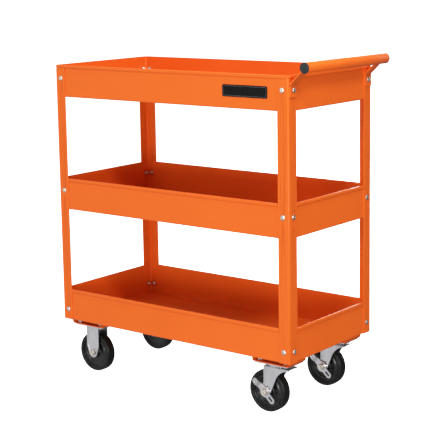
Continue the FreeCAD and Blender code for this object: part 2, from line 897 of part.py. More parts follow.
def make_rigid_fork(label, side):
    body = make_body(label)
    add_mount_plate(body, label)
    leg_face = D.fork_gap / 2 + D.fork_sheet
    legs = make_sketch(body, label + "_legs", "XZ_Plane")
    add_outline(legs, rigid_leg_outline(as_size(0), -D.mount_plate_sheet))
    pad(body, legs, leg_face * 2, both_ways=True)
    cut_fork_gap(body, label, -D.mount_plate_sheet - D.fork_sheet)
    for sign, name in ((1, "rear"), (-1, "front")):
        panel = make_sketch(body, f"{label}_panel_{name}", "XZ_Plane", leg_face * sign)
        add_outline(panel, rigid_leg_outline(D.fork_edge_rib, -D.mount_plate_sheet - D.fork_edge_rib * 2))
        pocket(body, panel, D.fork_panel_depth, reverse=sign < 0)
    cut_axle_hole(body, label, as_size(0))
    place(body, caster_x("left"), D.caster_spread * SIDES[side], channel_base())


# ---------------------------------------------------------------------------------------------------------
# Swivel caster heads and forks
# ---------------------------------------------------------------------------------------------------------

def race_level():
    """The height of the ball centres, below the caster plate's upper face."""
    return D.crown_top + D.race_gap / 2 - channel_base()


def cut_race(body, label):
    """The groove that the balls roll in."""
    groove = make_sketch(body, label + "_race", "XZ_Plane")
    radius = D.race_ball_diameter / 2 + D.race_ball_clearance
    add_circle(groove, D.race_pitch_diameter / 2, race_level(), radius)
    revolve(body, groove, "V_Axis", cuts=True)


def make_swivel_plate(label, side):
    """The fixed half of the swivel head: the bolted plate with its lower raceway boss."""
    body = make_body(label)
    add_mount_plate(body, label)
    boss = make_sketch(body, label + "_boss", "XY_Plane", D.crown_top + D.race_gap - channel_base())
    add_circle(boss, 0, 0, D.race_boss_diameter / 2)
    pad(body, boss, channel_base() - D.mount_plate_sheet - D.crown_top - D.race_gap)
    chamfer(body, D.race_boss_chamfer, lambda edge: len(edge.Vertexes) == 1
            and abs(edge.Curve.Radius - D.race_boss_diameter.value / 2) < 1e-4
            and edge.Vertexes[0].Z < -D.mount_plate_sheet.value - 1)
    cut_race(body, label)
    bore = make_sketch(body, label + "_bore", "XY_Plane")
    add_circle(bore, 0, 0, D.kingpin_diameter / 2 + D.kingpin_clearance)
    pocket(body, bore, both_ways=True)
    place(body, caster_x("right"), D.caster_spread * SIDES[side], channel_base())


def make_kingpin(label, side):
    """The rivet that holds the fork up to the plate and that the fork turns on."""
    body = make_body(label)
    half = make_sketch(body, label + "_half", "XZ_Plane")
    pin = D.kingpin_diameter / 2
    head = D.kingpin_head_diameter / 2
    seat = D.crown_top - D.crown_sheet - D.kingpin_head_gap - channel_base()
    add_outline(half, [
        (0, seat - D.kingpin_head_height),
        (head - D.kingpin_head_chamfer, seat - D.kingpin_head_height),
        (head, seat - D.kingpin_head_height + D.kingpin_head_chamfer),
        (head, seat),
        (pin, seat),
        (pin, 0),
        (0, 0),
    ])
    revolve(body, half, "V_Axis")
    place(body, caster_x("right"), D.caster_spread * SIDES[side], channel_base())


def make_bearing_balls(label, side):
    """A ring of separate balls in the raceway."""
    count = int(D.race_ball_count.value)
    pitch = D.race_pitch_diameter.value / 2
    centre = Vector(caster_x("right").value, D.caster_spread.value * SIDES[side],
                    channel_base().value + race_level().value)
    balls = []
    for i in range(count):
        turn = 2 * math.pi * i / count
        spot = centre + Vector(pitch * math.cos(turn), pitch * math.sin(turn), 0)
        balls.append(Part.makeSphere(D.race_ball_diameter.value / 2, spot))
    make_group(label, balls)


def swivel_leg_outline(inset, head, brow):
    """A trailing leg seen from the front: an upright rear edge that ends in a round tip about the axle, and a
    front edge that sweeps up from the waist to the brow, the lower end of the leg's front corner."""
    axle = -axle_depth()
    trail = -D.swivel_trail
    tip = D.fork_tip_radius - inset
    back = -D.swivel_leg_back + inset
    back_base = D.swivel_leg_back_base - channel_base()
    front = D.swivel_leg_front - inset * 2
    waist = D.swivel_leg_waist - inset
    waist_level = D.swivel_leg_waist_level - channel_base()
    sweep = D.swivel_leg_sweep
    # The swept edge is an arc: its middle point lies a sagitta inside the chord of its two ends.
    run_x = front - waist
    run_z = brow - waist_level
    span = square_root(run_x * run_x + run_z * run_z)
    sagitta = sweep - square_root(sweep * sweep - span * span / 4)
    mid_x = (front + waist) / 2 - run_z / span * sagitta
    mid_z = (brow + waist_level) / 2 + run_x / span * sagitta
    lean = tip * D.fork_taper
    side = square_root(tip * tip - lean * lean)
    return [
        (front, head), (back, head), (back, back_base), (trail - side, axle + lean),
        (trail, axle - tip, ARC), (trail + side, axle - lean), (waist, waist_level),
        (mid_x, mid_z, ARC), (front, brow),
    ]


def make_swivel_fork(label, side):
    """A sheet saddle: its crown turns under the swivel plate and its two legs hold the axle behind."""
    body = make_body(label)
    top = D.crown_top - channel_base()
    leg_face = D.fork_gap / 2 + D.fork_sheet
    legs = make_sketch(body, label + "_legs", "XZ_Plane")
    add_outline(legs, swivel_leg_outline(as_size(0), top, top - D.swivel_leg_brow))
    pad(body, legs, leg_face * 2, both_ways=True)
    fillet(body, D.fork_bend_radius, lambda edge: lies_at(edge, top.value) and runs_along(edge, leg_face.value))
    cut_fork_gap(body, label, top - D.crown_sheet)
    head = top - D.fork_bend_radius - D.fork_panel_depth
    for sign, name in ((1, "rear"), (-1, "front")):
        panel = make_sketch(body, f"{label}_panel_{name}", "XZ_Plane", leg_face * sign)
        add_outline(panel, swivel_leg_outline(D.fork_edge_rib, head, head - D.fork_panel_depth))
        pocket(body, panel, D.fork_panel_depth, reverse=sign < 0)
    cut_race(body, label)
    bore = make_sketch(body, label + "_bore", "XY_Plane")
    add_circle(bore, 0, 0, D.kingpin_diameter / 2 + D.kingpin_clearance)
    pocket(body, bore, both_ways=True)
    cut_axle_hole(body, label, -D.swivel_trail)
    place(body, caster_x("right"), D.caster_spread * SIDES[side], channel_base())


def runs_along(edge, side_y):
    """Whether the edge runs along X on one of the fork's side faces."""
    return all(abs(abs(vertex.Y) - side_y) < 1e-4 for vertex in edge.Vertexes) and len(edge.Vertexes) == 2


# ---------------------------------------------------------------------------------------------------------
# Axles and wheels
# ---------------------------------------------------------------------------------------------------------

def place_on_axle(body, side, end, angle=0.0, axis=Vector(0, 0, 1)):
    place(body, axle_x(end), D.caster_spread * SIDES[side], D.wheel_diameter / 2, angle, axis)


def nut_seat(end):
    """From the wheel's middle plane out to the axle nut: outside the leg, and outside the brake lever and
    its cam washer where there is one."""
    leg = D.fork_gap / 2 + D.fork_sheet
    if end == "left":
        return leg
    return leg + D.lever_gap * 2 + D.lever_sheet


def make_axle_bolt(label, side, end):
    """A hexagon-head bolt through both legs, with its head on the rear side."""
    body = make_body(label)
    seat = D.fork_gap / 2 + D.fork_sheet
    head = make_sketch(body, label + "_head", "XZ_Plane", -seat)
    add_outline(head, hexagon(D.axle_nut_flats))
    pad(body, head, D.axle_head_height, reverse=True)
    shank = make_sketch(body, label + "_shank", "XZ_Plane", -seat)
    add_circle(shank, 0, 0, D.axle_diameter / 2)
    pad(body, shank, seat + nut_seat(end) + D.axle_nut_height + D.axle_thread_end)
    place_on_axle(body, side, end)


def make_axle_nut(label, side, end):
    bore = D.axle_diameter / 2 + D.thread_clearance
    body = make_hex_nut(label, D.axle_nut_flats, D.axle_nut_height, bore)
    place(body, axle_x(end), D.caster_spread * SIDES[side] - nut_seat(end), D.wheel_diameter / 2,
          90, Vector(1, 0, 0))


def make_axle_sleeve(label, side, end):
    """The spacer clamped between the legs, which the wheel turns on."""
    body = make_body(label)
    ring = make_sketch(body, label + "_ring", "XZ_Plane")
    add_circle(ring, 0, 0, D.sleeve_diameter / 2)
    add_circle(ring, 0, 0, D.axle_diameter / 2 + D.axle_clearance)
    pad(body, ring, D.fork_gap, both_ways=True)
    place_on_axle(body, side, end)


def make_wheel_core(label, side, end):
    """The wheel's moulded centre: hub, web and a raised ring on each face."""
    body = make_body(label)
    bore = D.sleeve_diameter / 2 + D.wheel_running_clearance
    hub = D.hub_diameter / 2
    rim = D.core_diameter / 2
    web = D.core_web_width / 2
    ring = D.core_ring_width / 2
    ring_in = D.core_ring_inner / 2
    ring_out = D.core_ring_outer / 2
    slope = ring - web
    upper = [
        (bore, D.hub_width / 2), (hub - D.hub_edge, D.hub_width / 2), (hub, D.hub_width / 2 - D.hub_edge),
        (hub + D.hub_flare, web),
        (ring_in - slope, web), (ring_in, ring), (ring_out, ring), (ring_out + slope / 2, web + slope / 2),
        (rim, web + slope / 2),
    ]
    lower = [(x, -y) for x, y in reversed(upper)]
    half = make_sketch(body, label + "_half", "XY_Plane")
    add_outline(half, upper + lower)
    revolve(body, half, "V_Axis")
    place_on_axle(body, side, end)


def make_tyre(label, side, end):
    """The tyre, with rounded shoulders and a stepped side wall, seated on the core's rim."""
    body = make_body(label)
    inner = D.core_diameter / 2
    outer = D.wheel_diameter / 2
    half_width = D.tyre_width / 2
    shoulder = D.tyre_edge_radius
    bulge = shoulder * (1 - ROOT_HALF)
    rim_width = D.core_web_width / 2 + (D.core_ring_width - D.core_web_width) / 4
    step = inner + D.tyre_bead_step
    half = make_sketch(body, label + "_half", "XY_Plane")
    add_outline(half, [
        (inner, -rim_width),
        (step, -half_width),
        (outer - shoulder, -half_width),
        (outer - bulge, bulge - half_width, ARC),
        (outer, shoulder - half_width),
        (outer, half_width - shoulder),
        (outer - bulge, half_width - bulge, ARC),
        (outer - shoulder, half_width),
        (step, half_width),
        (inner, rim_width),
    ])
    revolve(body, half, "V_Axis")
    place_on_axle(body, side, end)


# ---------------------------------------------------------------------------------------------------------
# Brakes
# ---------------------------------------------------------------------------------------------------------

def make_brake_cam(label, side):
    """The washer clamped under the axle nut, which the lever turns on."""
    body = make_body(label)
    leg = D.fork_gap / 2 + D.fork_sheet
    ring = make_sketch(body, label + "_ring", "XZ_Plane", leg)
    add_circle(ring, 0, 0, D.lever_cam_diameter / 2)
    add_circle(ring, 0, 0, D.axle_diameter / 2 + D.axle_clearance)
    pad(body, ring, nut_seat("right") - leg)
    place_on_axle(body, side, "right")


def make_brake_lever(label, side):
    """A pressed lever on the outside of the fork: a hub with a raised ring, a joggled arm that ends in a
    dished thumb pad, and a slotted loop below. It is modelled along X and tilted about the axle."""
    body = make_body(label)
    face = D.fork_gap / 2 + D.fork_sheet + D.lever_gap
    sheet = D.lever_sheet
    rise = D.lever_joggle_rise
    arm = D.lever_arm_width / 2
    hub = D.lever_hub_diameter / 2
    tip = D.lever_pad_diameter / 2
    pad_x = tip - D.lever_pad_reach
    loop = D.lever_loop_width / 2
    loop_x = D.lever_loop_reach - loop
    meet = square_root(hub * hub - arm * arm)
    meet_loop = square_root(hub * hub - loop * loop)
    outline = make_sketch(body, label + "_outline", "XZ_Plane", face)
    add_outline(outline, [
        (pad_x, -tip),
        (-D.lever_joggle_start, -arm),
        (-meet, -arm),
        (0, -hub, ARC),
        (meet_loop, -loop),
        (loop_x, -loop),
        (loop_x + loop, 0, ARC),
        (loop_x, loop),
        (meet_loop, loop),
        (0, hub, ARC),
        (-meet, arm),
        (-D.lever_joggle_start, arm),
        (pad_x, tip),
        (pad_x - tip, 0, ARC),
    ])
    add_circle(outline, 0, 0, D.lever_hub_bore / 2)
    pad(body, outline, sheet + rise)

    # The joggle: everything outside the arm's sheet and everything behind the pad's sheet is cut away.
    low = -D.lever_joggle_start
    high = low - D.lever_joggle_run
    clear = D.lever_pad_reach + D.lever_loop_reach
    joggle = make_sketch(body, label + "_joggle", "XY_Plane")
    add_outline(joggle, [
        (low, -face - sheet),
        (clear, -face - sheet),
        (clear, -face - sheet - rise * 2),
        (high - D.lever_joggle_run, -face - sheet - rise * 2),
    ])
    add_outline(joggle, [
        (low, -face),
        (high, -face - rise),
        (-clear, -face - rise),
        (-clear, -face + rise),
        (low, -face + rise),
    ])
    pocket(body, joggle, both_ways=True)

    ring = make_sketch(body, label + "_ring", "XZ_Plane", face + sheet)
    ring_radius = D.lever_ring_diameter / 2
    add_circle(ring, 0, 0, ring_radius)
    add_circle(ring, 0, 0, ring_radius - D.lever_ring_width)
    pad(body, ring, D.lever_ring_height)
    dimple = make_sketch(body, label + "_dimple", "XZ_Plane", face + sheet + rise)
    add_circle(dimple, pad_x, 0, D.lever_dimple_diameter / 2)
    pocket(body, dimple, D.lever_dimple_depth)

    slot = make_sketch(body, label + "_slot", "XZ_Plane", face)
    half_slot = D.lever_slot_width / 2
    slot_start = loop_x - D.lever_slot_length + D.lever_slot_width
    add_outline(slot, [
        (slot_start, -half_slot),
        (loop_x, -half_slot),
        (loop_x + half_slot, 0, ARC),
        (loop_x, half_slot),
        (slot_start, half_slot),
        (slot_start - half_slot, 0, ARC),
    ])
    pocket(body, slot, both_ways=True)
    place_on_axle(body, side, "right", D.lever_angle.value, Vector(0, 1, 0))
    bind(body, "Placement.Rotation.Angle", D.lever_angle)


# ---------------------------------------------------------------------------------------------------------
# The whole cart
# ---------------------------------------------------------------------------------------------------------

def build():
    make_sheet()
    post_edge = D.post_flange - D.post_sheet + D.post_hem_gap
    make_tray("tray_top", D.top_tray_base, D.top_bolt_rise, D.hem_side_gap, D.hem_end_gap)
    make_tray("tray_middle", D.middle_tray_base, D.middle_bolt_rise, post_edge, post_edge)
    make_tray("tray_bottom", D.bottom_tray_base, D.bottom_bolt_rise, post_edge, post_edge)
    make_handle_tube()
    make_name_plate()
    for side in SIDES:
        make_handle_cap("handle_cap_" + side, side)
        make_handle_bracket("handle_bracket_" + side, side)
        for end in ENDS:
            corner = f"{side}_{end}"
            make_post("post_" + corner, side, end)
            make_channel("caster_channel_" + corner, side, end)
            if end == "left":
                make_rigid_fork("rigid_fork_" + corner, side)
            else:
                make_swivel_plate("swivel_plate_" + corner, side)
                make_kingpin("kingpin_" + corner, side)
                make_bearing_balls("bearing_balls_" + corner, side)
                make_swivel_fork("swivel_fork_" + corner, side)
                make_brake_cam("brake_cam_" + corner, side)
                make_brake_lever("brake_lever_" + corner, side)
            make_axle_bolt("axle_bolt_" + corner, side, end)
            make_axle_nut("axle_nut_" + corner, side, end)
            make_axle_sleeve("axle_sleeve_" + corner, side, end)
            make_wheel_core("wheel_core_" + corner, side, end)
            make_tyre("tyre_" + corner, side, end)
    nut = make_post_fasteners()
    make_caster_fasteners(nut)
    doc.recompute()


MASTERS = {"bolt_short", "bolt_long", "bolt_caster", "nut_small"}


def export_parts():
    for item in doc.Objects:
        if "Invalid" in item.State or "Error" in item.State:
            raise RuntimeError(f"{item.Label} failed to recompute")
    parts = [item for item in doc.Objects
             if item.TypeId in ("PartDesign::Body", "Part::Feature") and item.Label not in MASTERS]
    for part in parts:
        if part.Shape.isNull() or not part.Shape.isValid() or not part.Shape.Solids:
            raise RuntimeError(f"{part.Label} has no valid solid")
    os.makedirs("parts", exist_ok=True)
    for part in parts:
        part.Shape.exportStep(os.path.join("parts", part.Label + ".step"))
    print(f"{len(parts)} sub-parts written")


build()
export_parts()
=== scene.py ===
"""Looks of the three-tray tool cart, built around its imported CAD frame. Lengths are in metres."""

import math

import bmesh
import bpy
from mathutils import Matrix, Vector


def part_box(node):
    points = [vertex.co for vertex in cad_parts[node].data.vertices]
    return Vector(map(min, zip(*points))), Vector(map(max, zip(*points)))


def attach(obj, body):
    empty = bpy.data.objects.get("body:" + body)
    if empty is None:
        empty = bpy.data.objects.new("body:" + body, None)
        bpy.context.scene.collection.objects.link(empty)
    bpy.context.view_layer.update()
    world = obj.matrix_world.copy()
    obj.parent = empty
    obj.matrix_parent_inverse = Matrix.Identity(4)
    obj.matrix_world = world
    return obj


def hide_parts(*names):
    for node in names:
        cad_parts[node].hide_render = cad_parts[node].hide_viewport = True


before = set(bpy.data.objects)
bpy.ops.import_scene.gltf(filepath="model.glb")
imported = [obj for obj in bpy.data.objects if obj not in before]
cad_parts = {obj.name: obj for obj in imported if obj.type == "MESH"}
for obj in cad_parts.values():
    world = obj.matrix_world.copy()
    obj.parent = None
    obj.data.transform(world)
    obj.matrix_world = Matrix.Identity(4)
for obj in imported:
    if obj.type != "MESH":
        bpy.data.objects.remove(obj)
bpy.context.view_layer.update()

MM = 0.001
PAINT_DEEP = (0.74, 0.110, 0.0115)
PAINT_LIGHT = (0.79, 0.120, 0.0135)
PAINT_GLOSS = 0.13
FLOOR_GLOW = 1.6
CORNERS = ("front_left", "front_right", "rear_left", "rear_right")


# ---------------------------------------------------------------------------------------------------------
# Materials
# ---------------------------------------------------------------------------------------------------------

class Paintbox:
    """A material, with short calls for the nodes that drive its shader."""

    def __init__(self, name, roughness=0.5, metallic=0.0, **sockets):
        self.material = bpy.data.materials.new(name)
        self.material.use_nodes = True
        self.tree = self.material.node_tree
        self.shader = self.tree.nodes["Principled BSDF"]
        self.shader.inputs["Roughness"].default_value = roughness
        self.shader.inputs["Metallic"].default_value = metallic
        for socket, value in sockets.items():
            self.shader.inputs[socket.replace("_", " ").title().replace("Ior", "IOR")].default_value = value
        self.place = self.add("ShaderNodeTexCoord").outputs["Object"]

    def add(self, kind, inputs=None, **settings):
        node = self.tree.nodes.new(kind)
        for name, value in settings.items():
            setattr(node, name, value)
        for socket, value in (inputs or {}).items():
            self.join(value, node.inputs[socket])
        return node

    def join(self, value, socket):
        """Links an output, or sets a plain value."""
        if isinstance(value, bpy.types.NodeSocket):
            self.tree.links.new(value, socket)
        else:
            socket.default_value = value

    def noise(self, size, detail=3.0, roughness=0.5):
        """Noise whose patches are about size across."""
        inputs = {"Vector": self.place, "Scale": 1 / size, "Detail": detail, "Roughness": roughness}
        return self.add("ShaderNodeTexNoise", inputs).outputs["Fac"]

    def between(self, factor, low, high, start=0.3, end=0.7):
        """The factor's stretch from start to end, spread over low to high."""
        inputs = {"Value": factor, "From Min": start, "From Max": end, "To Min": low, "To Max": high}
        return self.add("ShaderNodeMapRange", inputs).outputs["Result"]

    def mixed(self, factor, first, second):
        node = self.add("ShaderNodeMix", data_type="RGBA")
        for socket, value in zip((node.inputs[0], node.inputs[6], node.inputs[7]), (factor, first, second)):
            self.join(value, socket)
        return node.outputs[2]

    def bump(self, height, depth, below=None):
        inputs = {"Height": height, "Distance": depth, "Strength": 1.0}
        if below:
            inputs["Normal"] = below
        return self.add("ShaderNodeBump", inputs).outputs["Normal"]

    def finish(self, **sockets):
        for name, value in sockets.items():
            self.join(value, self.shader.inputs[name.replace("_", " ").title()])
        return self.material


def rgb(red, green, blue):
    return (red, green, blue, 1.0)


def powder_coat():
    """Satin powder coat: a fine orange peel, faint flow marks and a slightly uneven thickness."""
    box = Paintbox("orange_powder_coat", specular_ior_level=PAINT_GLOSS)
    patches = box.noise(180 * MM, detail=4.0)
    colour = box.mixed(box.between(patches, 0.0, 1.0), rgb(*PAINT_DEEP), rgb(*PAINT_LIGHT))
    peel = box.noise(1.6 * MM, detail=2.0)
    flow = box.noise(9 * MM, detail=2.0)
    normal = box.bump(flow, 0.03 * MM, box.bump(peel, 0.006 * MM))
    return box.finish(base_color=colour, roughness=box.between(patches, 0.32, 0.40), normal=normal)


def zinc_plate():
    """Bright zinc plate on pressed steel: soft cloudy patches, a faint tint and a fine grain."""
    box = Paintbox("zinc_plated_steel", metallic=1.0)
    cloud = box.noise(16 * MM, detail=5.0, roughness=0.6)
    tint = box.noise(30 * MM, detail=2.0)
    bright = box.mixed(box.between(tint, 0.0, 1.0), rgb(0.60, 0.60, 0.63), rgb(0.67, 0.65, 0.66))
    colour = box.mixed(box.between(cloud, 0.0, 0.5), bright, rgb(0.44, 0.44, 0.47))
    grain = box.noise(0.8 * MM, detail=3.0)
    return box.finish(base_color=colour, roughness=box.between(cloud, 0.22, 0.36),
                      normal=box.bump(grain, 0.004 * MM))


def bright_zinc():
    """Bolts and nuts: smoother and brighter plate with a straw tint."""
    box = Paintbox("bright_zinc_fasteners", metallic=1.0)
    cloud = box.noise(4 * MM, detail=4.0)
    colour = box.mixed(box.between(cloud, 0.0, 1.0), rgb(0.64, 0.62, 0.58), rgb(0.70, 0.64, 0.55))
    return box.finish(base_color=colour, roughness=box.between(cloud, 0.26, 0.38),
                      normal=box.bump(box.noise(0.5 * MM), 0.004 * MM))


def bearing_steel():
    box = Paintbox("bearing_steel", metallic=1.0)
    cloud = box.noise(2 * MM)
    colour = box.mixed(box.between(cloud, 0.0, 1.0), rgb(0.70, 0.70, 0.71), rgb(0.62, 0.62, 0.62))
    return box.finish(base_color=colour, roughness=box.between(cloud, 0.12, 0.2))


def tyre_rubber():
    """Hard black rubber: nearly smooth, a little dusty, with fine mould texture."""
    box = Paintbox("hard_rubber", specular_ior_level=0.22)
    dust = box.noise(22 * MM, detail=5.0, roughness=0.65)
    colour = box.mixed(box.between(dust, 0.0, 1.0), rgb(0.003, 0.0033, 0.003), rgb(0.008, 0.0083, 0.008))
    skin = box.noise(0.7 * MM, detail=3.0)
    return box.finish(base_color=colour, roughness=box.between(dust, 0.26, 0.40),
                      normal=box.bump(skin, 0.012 * MM))


def moulded_black(name, size, base, roughness, gloss=0.4):
    """Injection-moulded black plastic with a fine spark-eroded texture."""
    box = Paintbox(name, specular_ior_level=gloss)
    patches = box.noise(size, detail=3.0)
    lighter = rgb(*(channel * 1.5 for channel in base))
    colour = box.mixed(box.between(patches, 0.0, 1.0), rgb(*base), lighter)
    texture = box.noise(0.45 * MM, detail=2.0)
    return box.finish(base_color=colour, roughness=box.between(patches, roughness, roughness + 0.1),
                      normal=box.bump(texture, 0.01 * MM))


def seamless_floor():
    """White acrylic lit from below, so that nothing stands in a shadow."""
    box = Paintbox("pale_floor", roughness=0.9, emission_strength=FLOOR_GLOW)
    colour = box.mixed(box.between(box.noise(0.6), 0.0, 1.0), rgb(0.80, 0.80, 0.80), rgb(0.82, 0.82, 0.82))
    box.shader.inputs["Emission Color"].default_value = rgb(1.0, 1.0, 1.0)
    return box.finish(base_color=colour)


def printed_line():
    """The plate's border: thin dark grey enamel."""
    box = Paintbox("border_enamel", roughness=0.4, specular_ior_level=0.3)
    patches = box.between(box.noise(3 * MM), 0.0, 1.0)
    colour = box.mixed(patches, rgb(0.13, 0.135, 0.14), rgb(0.17, 0.175, 0.18))
    return box.finish(base_color=colour)


PAINT = powder_coat()
ZINC = zinc_plate()
FASTENER = bright_zinc()
STEEL = bearing_steel()
RUBBER = tyre_rubber()
POLYMER = moulded_black("wheel_core_polymer", 14 * MM, (0.003, 0.0033, 0.0033), 0.22)
CAP_PLASTIC = moulded_black("cap_plastic", 8 * MM, (0.012, 0.015, 0.016), 0.38, 0.3)
BORDER = printed_line()
ENAMEL = moulded_black("plate_enamel", 20 * MM, (0.003, 0.003, 0.0035), 0.18, 0.12)

SLOT_MATERIALS = {
    "orange_paint": PAINT,
    "zinc_steel": ZINC,
    "bright_steel": STEEL,
    "black_rubber": RUBBER,
    "black_polymer": POLYMER,
    "black_plastic": CAP_PLASTIC,
    "black_plate": ENAMEL,
}
FASTENER_NODES = (
    "post_bolts", "post_nuts", "caster_bolts", "caster_nuts", "axle_nut", "axle_bolt", "brake_cam",
)

# Widths of the small bevels on the CAD nodes' edges, in mm.
EDGE_ROUNDING = {"orange_paint": 0.5, "zinc_steel": 0.4}
FASTENER_ROUNDING = 0.25
OTHER_ROUNDING = 0.3
SHARP_EDGE_ANGLE = 38


def soften(node, width):
    """Rounds the sharp edges of a CAD node, and keeps its flat faces flat."""
    weld = node.modifiers.new("weld", "WELD")
    weld.merge_threshold = 0.005 * MM
    bevel = node.modifiers.new("edges", "BEVEL")
    bevel.width = width * MM
    bevel.segments = 2
    bevel.limit_method = "ANGLE"
    bevel.angle_limit = math.radians(SHARP_EDGE_ANGLE)
    bevel.use_clamp_overlap = True
    bevel.harden_normals = True


def dress_cad_nodes():
    """Gives every CAD node its finish, and breaks the sharp edges of all but the bright steel ones with a
    small bevel.
    """
    for name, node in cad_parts.items():
        slot_name = node.material_slots[0].material.name
        if slot_name == "bright_steel":
            node.material_slots[0].material = STEEL
        elif name.startswith(FASTENER_NODES):
            node.material_slots[0].material = FASTENER
            soften(node, FASTENER_ROUNDING)
        else:
            node.material_slots[0].material = SLOT_MATERIALS[slot_name]
            soften(node, EDGE_ROUNDING.get(slot_name, OTHER_ROUNDING))


dress_cad_nodes()


# ---------------------------------------------------------------------------------------------------------
# Pieces built here
# ---------------------------------------------------------------------------------------------------------

def add_piece(name, mesh, body, material, replaced=()):
    mesh.materials.clear()
    mesh.materials.append(material)
    piece = bpy.data.objects.new(name, mesh)
    bpy.context.scene.collection.objects.link(piece)
    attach(piece, body)
    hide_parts(*replaced)
    return piece


def rounded(corners, steps=4):
    """A closed outline with each corner (x, y, radius) rounded, as a list of points."""
    outline = []
    count = len(corners)
    for index, (x, y, radius) in enumerate(corners):
        here = Vector((x, y))
        back = Vector(corners[index - 1][:2]) - here
        ahead = Vector(corners[(index + 1) % count][:2]) - here
        reach = min(radius, back.length * 0.45, ahead.length * 0.45)
        if radius == 0:
            outline.append(here)
            continue
        first = here + back.normalized() * reach
        last = here + ahead.normalized() * reach
        for step in range(steps + 1):
            share = step / steps
            outline.append(first * (1 - share) ** 2 + here * 2 * share * (1 - share) + last * share ** 2)
    return outline


def lathe(name, outline, centre, segments=128):
    """A solid turned about the Y axis through centre. The closed outline gives (along the axis, radius)
    in mm, and may touch the axis."""
    shape = bmesh.new()
    rings = []
    for segment in range(segments):
        angle = math.tau * segment / segments
        rings.append([
            shape.verts.new(centre + Vector((math.cos(angle) * radius, along, math.sin(angle) * radius)) * MM)
            for along, radius in outline
        ])
    for ring, following in zip(rings, rings[1:] + rings[:1]):
        for index in range(len(outline)):
            shape.faces.new((ring[index - 1], ring[index], following[index], following[index - 1]))
    bmesh.ops.dissolve_degenerate(shape, dist=0.001 * MM, edges=shape.edges)
    bmesh.ops.remove_doubles(shape, verts=shape.verts, dist=0.001 * MM)
    bmesh.ops.recalc_face_normals(shape, faces=shape.faces)
    mesh = bpy.data.meshes.new(name)
    shape.to_mesh(mesh)
    shape.free()
    mesh.shade_smooth()
    mesh.set_sharp_from_angle(angle=math.radians(50))
    return mesh


def mirrored(half):
    """A half outline from the inside out on the +Y side, followed by its mirror image on the way back."""
    return half + [(-along, radius, rounding) for along, radius, rounding in reversed(half)]


# Half sections of the wheel's parts, in mm: along the axle, radius, rounding of the corner.
TYRE_HALF = [
    (8.5, 39.02, 0), (11.3, 39.5, 0.5), (11.8, 40.6, 0.4), (11.8, 41.7, 0.4), (11.1, 42.2, 0.4),
    (11.1, 43.1, 0.4), (11.9, 43.8, 0.8), (12.0, 46.6, 1.5), (10.4, 49.55, 3.0), (4.0, 49.85, 1.5),
    (0.6, 49.9, 0.1), (0.35, 50.0, 0.1),
]
CORE_HALF = [
    (14.0, 6.1, 0.4), (14.0, 9.0, 0.3), (13.3, 9.5, 0.3), (13.3, 10.6, 0.3), (14.0, 11.1, 0.3),
    (14.0, 14.2, 1.2), (8.4, 16.2, 2.0), (7.5, 18.5, 1.5), (7.5, 26.6, 1.5), (9.6, 28.4, 1.2),
    (10.0, 29.2, 0.6), (10.0, 32.6, 0.8), (8.7, 34.6, 1.2), (8.0, 36.8, 1.0), (8.75, 38.0, 0.5),
    (8.75, 38.98, 0),
]


def wheel_centre(corner):
    low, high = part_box("tyre_" + corner)
    return (low + high) / 2


def make_wheel(corner):
    centre = wheel_centre(corner)
    body = "wheel_" + corner
    tyre = lathe("tyre", rounded(mirrored(TYRE_HALF)), centre)
    add_piece("tyre_ring_" + corner, tyre, body, RUBBER, ["tyre_" + corner])
    core = lathe("core", rounded(mirrored(CORE_HALF)), centre)
    add_piece("wheel_centre_" + corner, core, body, POLYMER, ["wheel_core_" + corner])


# Section of the tube's plug, in mm: outwards from the tube's end, radius, rounding of the corner.
CAP_OUTLINE = [
    (0, 12.18, 0.3), (1.0, 12.18, 0.5), (1.35, 11.4, 0.5), (1.35, 10.7, 0.3), (0.9, 10.2, 0.25),
    (0.9, 9.8, 0.25), (1.5, 8.9, 0.8), (1.75, 4.5, 2.0), (1.8, 0, 0), (-14, 0, 0), (-14, 9.4, 0.6),
    (-12.5, 10.4, 0.4), (0, 10.4, 0.2),
]


def make_cap(side, sign):
    """The plug in the tube's end: a rim, a narrow groove and a softly domed centre."""
    low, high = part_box("handle_cap_" + side)
    end_low, end_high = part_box("handle_tube")
    centre = Vector(((low.x + high.x) / 2, end_high.y if sign > 0 else end_low.y, (low.z + high.z) / 2))
    outline = rounded([(along * sign, radius, rounding) for along, radius, rounding in CAP_OUTLINE])
    cap = lathe("cap", outline, centre, 96)
    add_piece("tube_plug_" + side, cap, "cart", CAP_PLASTIC, ["handle_cap_" + side])


def rounded_rectangle(half_width, half_height, radius, steps=8):
    signs = ((-1, -1), (1, -1), (1, 1), (-1, 1))
    return rounded([(half_width * x, half_height * y, radius) for x, y in signs], steps)


# The plate's border line, in mm.
BORDER_INSET = 2.6
BORDER_WIDTH = 0.4
BORDER_RADIUS = 2.4
BORDER_PROUD = 0.06
BORDER_SUNK = 0.3


